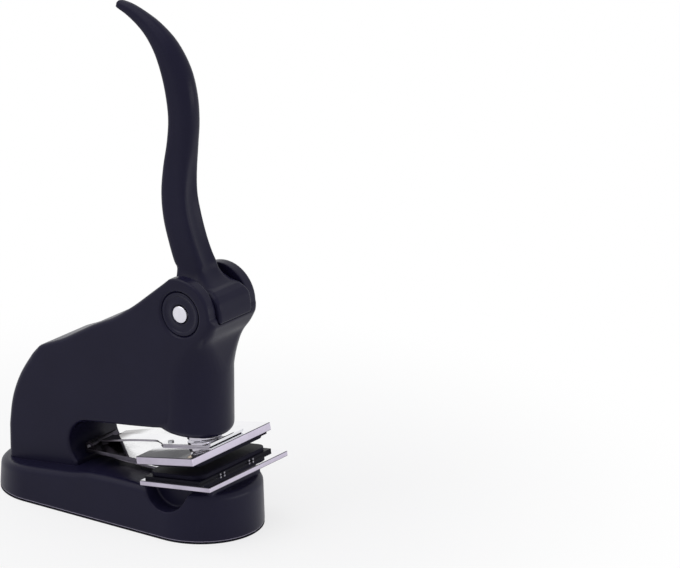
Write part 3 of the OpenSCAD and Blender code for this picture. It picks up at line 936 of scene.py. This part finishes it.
def makeUpperPlate():
    s = jawShape
    tilt = s["upperTilt"]
    u0, u1, v0, v1 = s["upperPlate"]
    plate = sheetPiece(rectangle(u0, u1, s["plateWidth"]), v0, v1, tilt, "upper_plate_bar", edge=s["plateEdge"])
    tongue = makeTongue(2, 41.1, 13.4, 26, -0.9, 1.5, 2.0)
    tongue.data.transform(jawMatrix(tilt))
    barrel = lathe([(2.2, -4.8), (2.2, 4.8)], "barrel", (-15, 0, 24.6), "Y", 48)
    combine(plate, [tongue, barrel], "UNION")
    gap = []
    for y0, y1 in ((-9.2, -4.9), (4.9, 9.2)):
        corners = ((-4, y0), (3.4, y0), (3.4, y1), (-4, y1))
        gap.append(loft([[(u, y, v) for u, y in corners] for v in (-4, 4)], "gap"))
    for g in gap:
        g.data.transform(jawMatrix(tilt))
    combine(plate, gap, "DIFFERENCE")
    combine(plate, [lathe([(1.05, -20), (1.05, 20)], "pinHole", (-15, 0, 24.6), "Y", 32)], "DIFFERENCE")
    markEdges(plate, tilt)
    return plate


upperPlate = makeUpperPlate()
paint(upperPlate, mirrorChrome, edgeChrome, bevelPaintedShade)
place(upperPlate, "jaw", "chrome", "upper_plate")


def makeLowerPlate():
    s = jawShape
    tilt = s["lowerTilt"]
    u0, u1, v0, v1 = s["lowerPlate"]
    plate = sheetPiece(rectangle(u0, u1, s["plateWidth"]), v0, v1, tilt, "lower_plate_bar", edge=s["plateEdge"])
    outline = [(-14, 22.9), (4, 22.1), (25, 22.3), (28, 23), (28, 24.2), (25, 23.5), (4, 23), (-14, 23.9)]
    tongue = sidePrism(outline, -9, 9, "tongue")
    barrels = [lathe([(2.2, y0), (2.2, y1)], "barrel", (-15, 0, 24.6), "Y", 48) for y0, y1 in ((-9, -5), (5, 9))]
    combine(plate, [tongue] + barrels, "UNION")
    gap = loft([[(x, y, z) for x, y in ((-19, -5), (-10, -5), (-10, 5), (-19, 5))] for z in (20.6, 29.6)], "gap")
    combine(plate, [gap, lathe([(1.0, -20), (1.0, 20)], "pinHole", (-15, 0, 24.6), "Y", 32)], "DIFFERENCE")
    markEdges(plate, tilt)
    return plate


lowerPlate = makeLowerPlate()
paint(lowerPlate, mirrorChrome, edgeChrome, bevelPaintedShade)
place(lowerPlate, "stand", "chrome", "lower_plate")

dieShape = {
    "corner": 5,
    "edge": 0.2,
    "trayEdge": 0.15,
    "backingEdge": 0.1,
    # from and to along the plates and width, then under and upper side
    "backing": ((42.1, 69.9, 48), (-1.7, -0.9)),
    "upperDie": ((42.3, 69.7, 47), (-2.5, -1.5)),
    "tray": ((41.4, 70.8, 49), (-5.8, -4.6)),
    "lowerDie": ((42.2, 70.2, 47), (-4.6, -2.8)),
}


def makeMaleDie():
    s = dieShape
    tilt = jawShape["upperTilt"]
    plan, sides = s["backing"]
    die = sheetPiece(rectangle(*plan), *sides, tilt, "male_die_plate", edge=s["backingEdge"])
    plan, sides = s["upperDie"]
    block = sheetPiece(roundedRectangle(*plan, s["corner"]), *sides, tilt, "block", edge=s["edge"])
    combine(die, [block], "UNION")
    return die


plan, sides = dieShape["tray"]
dieHolder = sheetPiece(
    rectangle(*plan), *sides, jawShape["lowerTilt"], "die_holder_tray", edge=dieShape["trayEdge"]
)
paint(dieHolder, holderBlack)
place(dieHolder, "stand", "die_black", "die_holder")
plan, sides = dieShape["lowerDie"]
femaleDie = sheetPiece(
    roundedRectangle(*plan, dieShape["corner"]), *sides, jawShape["lowerTilt"], "female_die_block", edge=dieShape["edge"]
)
paint(femaleDie, dieBlack)
place(femaleDie, "stand", "die_black", "female_die")
maleDie = makeMaleDie()
paint(maleDie, dieBlack)
place(maleDie, "jaw", "die_black", "male_die")
print("plates and dies made")


# leaf strip: one sheet, narrow along the tongue and wide under the ram

stripShape = {
    "half": 4,
    "padHalf": 11.4,
    "flare": (34, 41.7),
    "thick": 0.9,
    "under": [(2.4, 0.62), (5, 0.62), (10, 1), (18, 1.5), (26, 1.7), (33, 1.8), (37, 2.1), (39.8, 2.5)],
    # under and upper side where the front end turns up
    "lip": [((66.2, 2.5), (66.2, 3.4)), ((67.2, 2.6), (66.8, 3.45)), ((67.9, 3.1), (67.2, 3.8)), ((68.3, 4.3), (67.5, 4.5))],
    "corner": 1.6,
}


def makeStrip():
    # cross sections from the hinge to the lip, as wide as the plan says at each
    s = stripShape
    u0, u1 = s["flare"]
    plan = [(0, s["half"]), (u0 - 3, s["half"])]
    flare = [(u0 - 3, s["half"]), (u0, s["half"] + 0.6), (u0 + 4, s["half"] + 3.6), (u1 - 0.8, s["padHalf"] - 1.2)]
    plan += smoothLine(flare, 4)[1:]
    plan += arc(u1 + s["corner"] - 0.4, s["padHalf"] - s["corner"], s["corner"], 150, 90, 4)
    under = smoothLine(s["under"], 4)
    u, v = under[-1]
    under += [(x, v) for x, half in plan if x > u + 0.1] + [(54, v)]
    sides = []
    for i, (u, v) in enumerate(under):
        a, b = under[max(i - 1, 0)], under[min(i + 1, len(under) - 1)]
        step = Vector((b[0] - a[0], b[1] - a[1])).normalized()
        sides.append(((u, v), (u - step.y * s["thick"], v + step.x * s["thick"])))
    loops = []
    for (u, v), (x, top) in sides + s["lip"]:
        half = heightAlong(plan, u)
        loops.append([(u, -half, v), (u, half, v), (x, half, top), (x, -half, top)])
    strip = loft(loops, "leaf_strip_sheet")
    bevelled(strip, 0.15)
    strip.data.transform(jawMatrix(jawShape["upperTilt"]))
    for face in strip.data.polygons:
        face.material_index = 1 if abs(face.normal.y) > 0.5 else 0
    return strip


strip = makeStrip()
paint(strip, mirrorChrome, stripEdge)
place(strip, "jaw", "chrome", "leaf_strip")
print("strip made")


# ram with its foot

ramShape = {
    "axisX": 39.4,
    "bar": [(0, 41.2), (7.0, 41.2), (7.4, 41.6), (7.4, 59.7), (7.1, 60), (4.2, 60), (4.2, 85.6), (3.8, 85.96), (0, 85.96)],
    "foot": [(0, 36), (7.4, 36), (7.4, 40.3), (7.1, 40.6), (6.4, 40.65), (6.3, 40.9), (6.4, 41.15), (0, 41.2)],
    "faceZ": 38.65,
    "faceTilt": 7.64,
}


def makeFoot():
    # its face is cut at an angle, to lie flat on the closed jaw
    s = ramShape
    foot = lathe(s["foot"], "ram_foot_face", (s["axisX"], 0, 0))
    below = loft([[(x, y, z) for x, y in rectangle(-20, 20, 40)] for z in (-20, 0)], "below")
    tilt = Matrix.Rotation(math.radians(-s["faceTilt"]), 4, "Y")
    below.data.transform(Matrix.Translation((s["axisX"] * mm, 0, s["faceZ"] * mm)) @ tilt)
    combine(foot, [below], "DIFFERENCE")
    bevelled(foot, 0.15)
    return foot


ram = lathe(ramShape["bar"], "ram_bar", (ramShape["axisX"], 0, 0))
bevelled(ram, 0.1)
paint(ram, ramChrome)
place(ram, "ram", "chrome", "ram")
ramFoot = makeFoot()
paint(ramFoot, ramChrome)
place(ramFoot, "ram", "chrome", "ram_foot")
print("ram made")


# carried-over nodes keep their shape and get materials

carried = {
    "frame_screws": plainSteel,
    "thrust_washers": washerNylon,
    "hub_bush": bushBronze,
    "guide_bush": bushBronze,
    "return_spring": plainSteel,
    "ram_head": plainSteel,
    "head_pin": plainSteel,
    "locating_pins": plainSteel,
    "holder_pins": dullAndShadedSteel,
    "strip_rivets": plainSteel,
    # the jaw pin's darker steel is painted shade by the hinge
    "jaw_pin": dullAndShadedSteel,
}
for name, material in carried.items():
    paint(nodes[name], material)
for name in ("base", "base_pad", "frame", "ear_bushes", "lever"):
    paint(nodes[name], bodyPaint)
for name in ("pivot_pin", "ram", "ram_foot", "lower_plate", "upper_plate", "leaf_strip"):
    paint(nodes[name], mirrorChrome)
for name in ("die_holder", "female_die", "male_die"):
    paint(nodes[name], holderBlack)
print("carried nodes dressed")


# floor, backdrop and light

studio = {"floorColour": (0.86, 0.86, 0.88), "world": 0.55, "nearRadius": 0.10, "farRadius": 0.26}


def makeFloor():
    bm = bmesh.new()
    corners = [bm.verts.new(p) for p in ((-6, -6, 0), (6, -6, 0), (6, 6, 0), (-6, 6, 0))]
    bm.faces.new(corners)
    bmesh.ops.subdivide_edges(bm, edges=bm.edges, cuts=3, use_grid_fill=True)
    floor = newPiece(bm, "floor")
    material, tree, shader = startMaterial("floorPaper")
    link = tree.links.new
    shader.inputs["Base Color"].default_value = (*studio["floorColour"], 1)
    shader.inputs["Roughness"].default_value = 0.8
    shader.inputs["Specular IOR Level"].default_value = 0.1
    glow = node(tree, "ShaderNodeEmission")
    glow.inputs["Color"].default_value = (1, 1, 1, 1)
    mixer = node(tree, "ShaderNodeMixShader")
    where = node(tree, "ShaderNodeTexCoord")
    away = node(tree, "ShaderNodeVectorMath", operation="LENGTH")
    ramp = node(tree, "ShaderNodeMapRange", interpolation_type="SMOOTHSTEP")
    ramp.inputs["From Min"].default_value = studio["nearRadius"]
    ramp.inputs["From Max"].default_value = studio["farRadius"]
    ramp.inputs["To Min"].default_value = 0.72
    rays = node(tree, "ShaderNodeLightPath")
    seen = node(tree, "ShaderNodeMath", operation="MAXIMUM")
    share = node(tree, "ShaderNodeMath", operation="MULTIPLY")
    link(where.outputs["Object"], away.inputs[0])
    link(away.outputs["Value"], ramp.inputs["Value"])
    link(rays.outputs["Is Camera Ray"], seen.inputs[0])
    link(rays.outputs["Is Glossy Ray"], seen.inputs[1])
    link(seen.outputs[0], share.inputs[0])
    link(ramp.outputs["Result"], share.inputs[1])
    link(share.outputs[0], mixer.inputs["Fac"])
    link(shader.outputs[0], mixer.inputs[1])
    link(glow.outputs[0], mixer.inputs[2])
    link(mixer.outputs[0], tree.nodes["Material Output"].inputs["Surface"])
    paint(floor, material)


def makeWorld():
    world = bpy.data.worlds.new("studio")
    scene.world = world
    world.use_nodes = True
    tree = world.node_tree
    tree.nodes.clear()
    link = tree.links.new
    out = node(tree, "ShaderNodeOutputWorld")
    soft = node(tree, "ShaderNodeBackground")
    soft.inputs["Color"].default_value = (1, 1, 1, 1)
    soft.inputs["Strength"].default_value = studio["world"]
    white = node(tree, "ShaderNodeBackground")
    white.inputs["Color"].default_value = (1, 1, 1, 1)
    white.inputs["Strength"].default_value = 1.0
    rays = node(tree, "ShaderNodeLightPath")
    seen = node(tree, "ShaderNodeMath", operation="MAXIMUM")
    also = node(tree, "ShaderNodeMath", operation="MAXIMUM")
    mixer = node(tree, "ShaderNodeMixShader")
    link(rays.outputs["Is Camera Ray"], seen.inputs[0])
    link(rays.outputs["Is Glossy Ray"], seen.inputs[1])
    link(seen.outputs[0], also.inputs[0])
    link(rays.outputs["Is Transmission Ray"], also.inputs[1])
    link(also.outputs[0], mixer.inputs["Fac"])
    link(soft.outputs[0], mixer.inputs[1])
    link(white.outputs[0], mixer.inputs[2])
    link(mixer.outputs[0], out.inputs["Surface"])


def addLamp(name, spot, target, size, power):
    data = bpy.data.lights.new(name, "AREA")
    data.shape = "RECTANGLE"
    data.size, data.size_y = size
    data.energy = power
    lamp = bpy.data.objects.new(name, data)
    aim = (Vector(target) - Vector(spot)).to_track_quat("-Z", "Y")
    lamp.matrix_world = Matrix.Translation(spot) @ aim.to_matrix().to_4x4()
    scene.collection.objects.link(lamp)


makeFloor()
makeWorld()
addLamp("overhead", (-0.3, -0.3, 1.3), (0, 0, 0.08), (1.2, 1.2), 7)
addLamp("leftSide", (-0.7, -1.2, 1.0), (0, 0, 0.09), (0.9, 0.9), 3.5)
addLamp("rightSide", (1.2, 0.4, 0.16), (0.03, 0, 0.08), (1.0, 0.25), 3)
scene.view_settings.view_transform = "Standard"
print("studio made")
